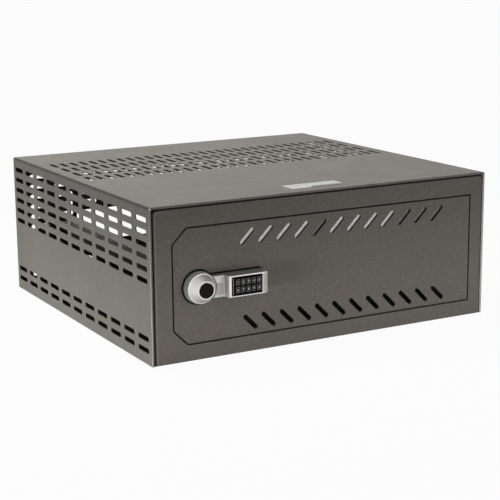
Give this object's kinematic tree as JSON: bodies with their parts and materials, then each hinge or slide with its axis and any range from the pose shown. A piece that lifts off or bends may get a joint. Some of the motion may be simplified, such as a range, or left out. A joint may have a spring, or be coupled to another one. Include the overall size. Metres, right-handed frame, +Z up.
{
  "type": "dvr lock box",
  "caption": "Slotted sheet-steel lock box for a video recorder: hinged front door with a turning knob, round bolts and an electronic keypad lock, and a rear cable opening.",
  "frame": {"origin": "centre of the underside of the base panel", "axes": "+X to the right along the width, seen from the door; +Y to the back; +Z up. The door faces -Y"},
  "size_m": [0.51, 0.5049, 0.2],
  "materials": {
    "shell_paint": "fine textured powder coat, warm grey",
    "front_paint": "fine textured powder coat, warm grey, front",
    "silver_lock": "satin silver lacquer on cast zinc",
    "zinc": "zinc plated steel",
    "black_plastic": "matt black",
    "key_plastic": "matt black keys with pale numbers",
    "black_rubber": "matt black",
    "brass": "machined",
    "circuit_board": "green solder mask",
    "cell_wrap": "blue printed wrap without words",
    "bright_steel": "ground steel"
  },
  "bodies": {
    "cabinet": {"top_panel": "shell_paint", "side_panel_left": "shell_paint", "side_panel_right": "shell_paint", "base_panel": "shell_paint", "back_panel": "shell_paint", "cable_edge_trim": "black_rubber", "front_hem": "shell_paint", "front_frame": "front_paint", "door_stops": "front_paint", "strike_plate": "zinc", "ledge_left": "zinc", "ledge_right": "zinc", "hinge_tabs": "front_paint", "hinge_pins": "zinc"},
    "door": {"door_panel": "front_paint", "hinge_bushes": "black_plastic", "slot_baffles": "zinc", "slot_shield": "front_paint", "lock_gasket": "black_rubber", "lock_housing": "silver_lock", "keypad_board": "circuit_board", "keypad_plate": "black_plastic", "lock_chassis": "zinc", "bolt_guides": "zinc", "solenoid": "zinc", "battery_tray": "black_plastic", "battery_cells": "cell_wrap", "lock_cover": "front_paint", "lock_screws": "zinc", "cover_screws": "zinc"},
    "knob": {"knob": "silver_lock", "key_cylinder": "brass", "knob_spindle": "zinc", "crank": "zinc"},
    "bolt_work": {"bolt_bar": "zinc", "bolts": "bright_steel"},
    "core": {"cylinder_core": "brass"},
    "cap": {"knob_cap": "black_plastic"},
    "solenoid_pin": {"solenoid_pin": "bright_steel"},
    "reset_button": {"reset_button": "black_plastic"},
    "battery_lid": {"battery_lid": "black_plastic"},
    "key_1": {"key_1": "key_plastic"},
    "key_2": {"key_2": "key_plastic"},
    "key_3": {"key_3": "key_plastic"},
    "key_4": {"key_4": "key_plastic"},
    "key_5": {"key_5": "key_plastic"},
    "key_6": {"key_6": "key_plastic"},
    "key_7": {"key_7": "key_plastic"},
    "key_8": {"key_8": "key_plastic"},
    "key_9": {"key_9": "key_plastic"},
    "key_0": {"key_0": "key_plastic"}
  },
  "joints": [
    {"name": "door_hinge", "type": "hinge", "parent": "cabinet", "child": "door", "pos_m": [0.2095, -0.235, 0.096], "axis": [0, 0, 1], "range_deg": [0, 110]},
    {"name": "knob_turn", "type": "hinge", "parent": "door", "child": "knob", "pos_m": [-0.191, -0.24, 0.0945], "axis": [0, -1, 0], "range_deg": [0, 90]},
    {"name": "bolt_slide", "type": "slide", "parent": "door", "child": "bolt_work", "axis": [-1, 0, 0], "range_m": [0, 0.012]},
    {"name": "cap_pull", "type": "slide", "parent": "knob", "child": "cap", "axis": [0, -1, 0], "range_m": [0, 0.015]},
    {"name": "core_turn", "type": "hinge", "parent": "knob", "child": "core", "pos_m": [-0.191, -0.24, 0.0945], "axis": [0, -1, 0], "range_deg": [0, 90]},
    {"name": "solenoid_travel", "type": "slide", "parent": "door", "child": "solenoid_pin", "axis": [0, 0, -1], "range_m": [0, 0.004], "stiffness_N_per_m": 60, "springref_m": -0.002},
    {"name": "reset_press", "type": "slide", "parent": "door", "child": "reset_button", "axis": [0, -1, 0], "range_m": [0, 0.0015], "stiffness_N_per_m": 200, "springref_m": -0.0005},
    {"name": "battery_lid_slide", "type": "slide", "parent": "door", "child": "battery_lid", "axis": [1, 0, 0], "range_m": [0, 0.012]},
    {"name": "key_1_press", "type": "slide", "parent": "door", "child": "key_1", "axis": [0, 1, 0], "range_m": [0, 0.0008], "stiffness_N_per_m": 300, "springref_m": -0.0005},
    {"name": "key_2_press", "type": "slide", "parent": "door", "child": "key_2", "axis": [0, 1, 0], "range_m": [0, 0.0008], "stiffness_N_per_m": 300, "springref_m": -0.0005},
    {"name": "key_3_press", "type": "slide", "parent": "door", "child": "key_3", "axis": [0, 1, 0], "range_m": [0, 0.0008], "stiffness_N_per_m": 300, "springref_m": -0.0005},
    {"name": "key_4_press", "type": "slide", "parent": "door", "child": "key_4", "axis": [0, 1, 0], "range_m": [0, 0.0008], "stiffness_N_per_m": 300, "springref_m": -0.0005},
    {"name": "key_5_press", "type": "slide", "parent": "door", "child": "key_5", "axis": [0, 1, 0], "range_m": [0, 0.0008], "stiffness_N_per_m": 300, "springref_m": -0.0005},
    {"name": "key_6_press", "type": "slide", "parent": "door", "child": "key_6", "axis": [0, 1, 0], "range_m": [0, 0.0008], "stiffness_N_per_m": 300, "springref_m": -0.0005},
    {"name": "key_7_press", "type": "slide", "parent": "door", "child": "key_7", "axis": [0, 1, 0], "range_m": [0, 0.0008], "stiffness_N_per_m": 300, "springref_m": -0.0005},
    {"name": "key_8_press", "type": "slide", "parent": "door", "child": "key_8", "axis": [0, 1, 0], "range_m": [0, 0.0008], "stiffness_N_per_m": 300, "springref_m": -0.0005},
    {"name": "key_9_press", "type": "slide", "parent": "door", "child": "key_9", "axis": [0, 1, 0], "range_m": [0, 0.0008], "stiffness_N_per_m": 300, "springref_m": -0.0005},
    {"name": "key_0_press", "type": "slide", "parent": "door", "child": "key_0", "axis": [0, 1, 0], "range_m": [0, 0.0008], "stiffness_N_per_m": 300, "springref_m": -0.0005}
  ],
  "couplings": [
    {"joint": "bolt_slide", "follows": "knob_turn", "m_per_rad": 0.007639}
  ]
}
